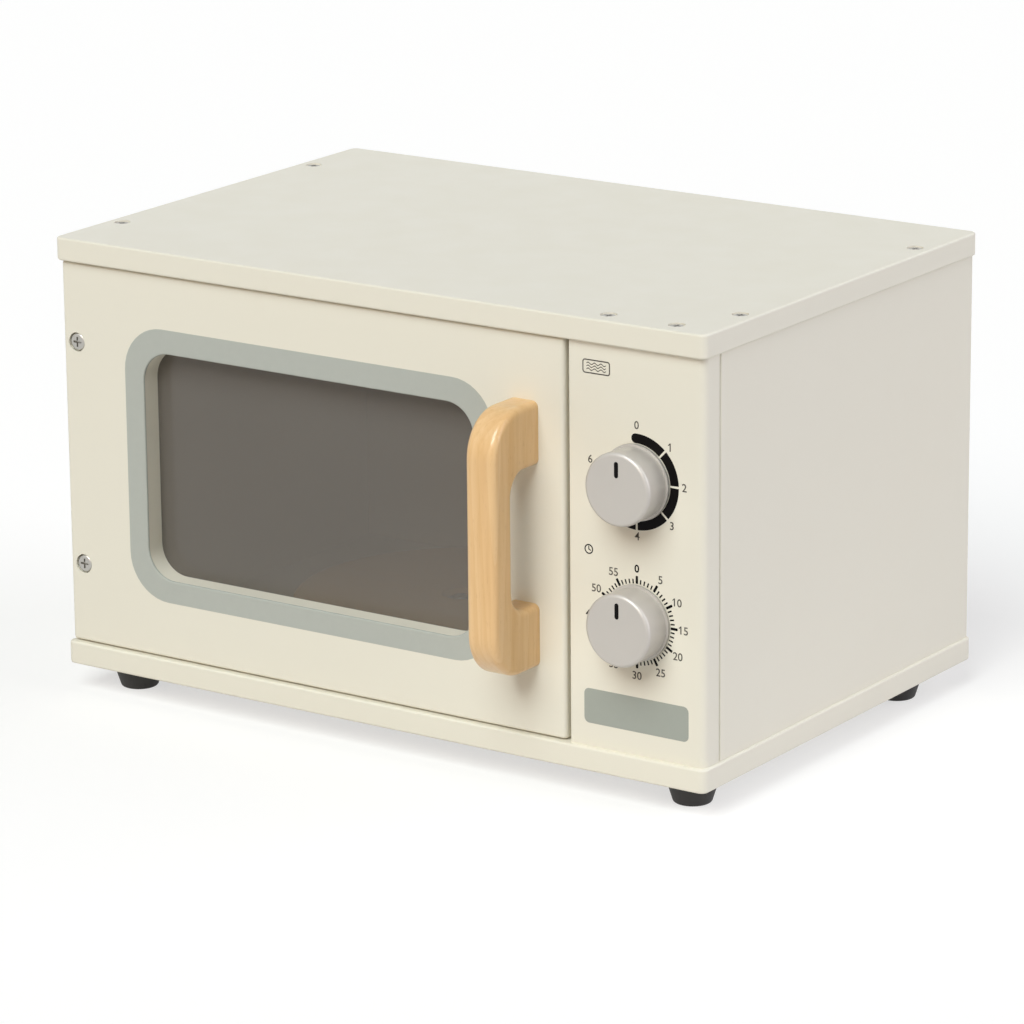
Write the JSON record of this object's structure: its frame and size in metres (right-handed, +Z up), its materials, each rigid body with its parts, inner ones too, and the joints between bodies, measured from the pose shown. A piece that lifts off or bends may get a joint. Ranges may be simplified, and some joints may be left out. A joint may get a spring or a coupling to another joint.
{
  "type": "toy oven",
  "caption": "Wooden toy microwave oven: a painted box on rubber feet, with a side-hinged windowed door, a wooden pull handle, a turntable and a control panel with turning dials.",
  "frame": {"origin": "on the floor plane below the middle of the whole object's bounding box, the handle included", "axes": "+X to the right seen from the front, +Y from the front to the back, +Z up; the door, handle and dials face -Y"},
  "size_m": [0.3416, 0.2574, 0.2105],
  "materials": {
    "painted_wood": "smooth satin paint, warm cream",
    "beech": "clear satin lacquer on beech",
    "tinted_pane": "polished, smoke-brown tint",
    "rubber": "matt black",
    "knob_plastic": "matt warm grey",
    "nylon": "natural white",
    "steel": "zinc plated",
    "magnet": "nickel plated"
  },
  "bodies": {
    "cabinet": {"base_board": "painted_wood", "top_board": "painted_wood", "left_side_board": "painted_wood", "right_side_board": "painted_wood", "divider_board": "painted_wood", "back_board": "painted_wood", "control_panel": "painted_wood", "top_screws": "steel", "base_screws": "steel", "foot_screws": "steel", "catch_magnet": "magnet", "lower_hinge_bush": "nylon", "upper_hinge_bush": "nylon", "pawl_screws": "steel", "foot_front_left": "rubber", "foot_front_right": "rubber", "foot_back_left": "rubber", "foot_back_right": "rubber", "power_dial_bush": "nylon", "time_dial_bush": "nylon", "power_click_pawl": "nylon", "time_click_pawl": "nylon", "turntable_bush": "nylon", "turntable_washer": "steel", "turntable_screw": "steel"},
    "door": {"door_board": "painted_wood", "window_pane": "tinted_pane", "pane_screws": "steel", "hinge_post": "painted_wood", "lower_pivot_pin": "steel", "upper_pivot_pin": "steel", "hinge_screws": "steel", "handle": "beech", "handle_screws": "steel", "catch_strike_screw": "steel"},
    "turntable": {"turntable_plate": "beech"},
    "power_dial": {"power_knob": "knob_plastic", "power_spindle": "steel", "power_click_wheel": "nylon", "power_washer": "steel", "power_washer_screw": "steel"},
    "time_dial": {"time_knob": "knob_plastic", "time_spindle": "steel", "time_click_wheel": "nylon", "time_washer": "steel", "time_washer_screw": "steel"}
  },
  "joints": [
    {"name": "door_hinge", "type": "hinge", "parent": "cabinet", "child": "door", "pos_m": [-0.16325, -0.0769, 0.1115], "axis": [0, 0, -1], "range_deg": [0, 90]},
    {"name": "turntable_turn", "type": "hinge", "parent": "cabinet", "child": "turntable", "pos_m": [-0.0324, 0.0166, 0.0335], "axis": [0, 0, 1], "continuous": true},
    {"name": "power_dial_turn", "type": "hinge", "parent": "cabinet", "child": "power_dial", "pos_m": [0.13585, -0.0954, 0.1429], "axis": [0, 1, 0], "continuous": true},
    {"name": "time_dial_turn", "type": "hinge", "parent": "cabinet", "child": "time_dial", "pos_m": [0.13585, -0.0954, 0.0819], "axis": [0, 1, 0], "continuous": true}
  ]
}
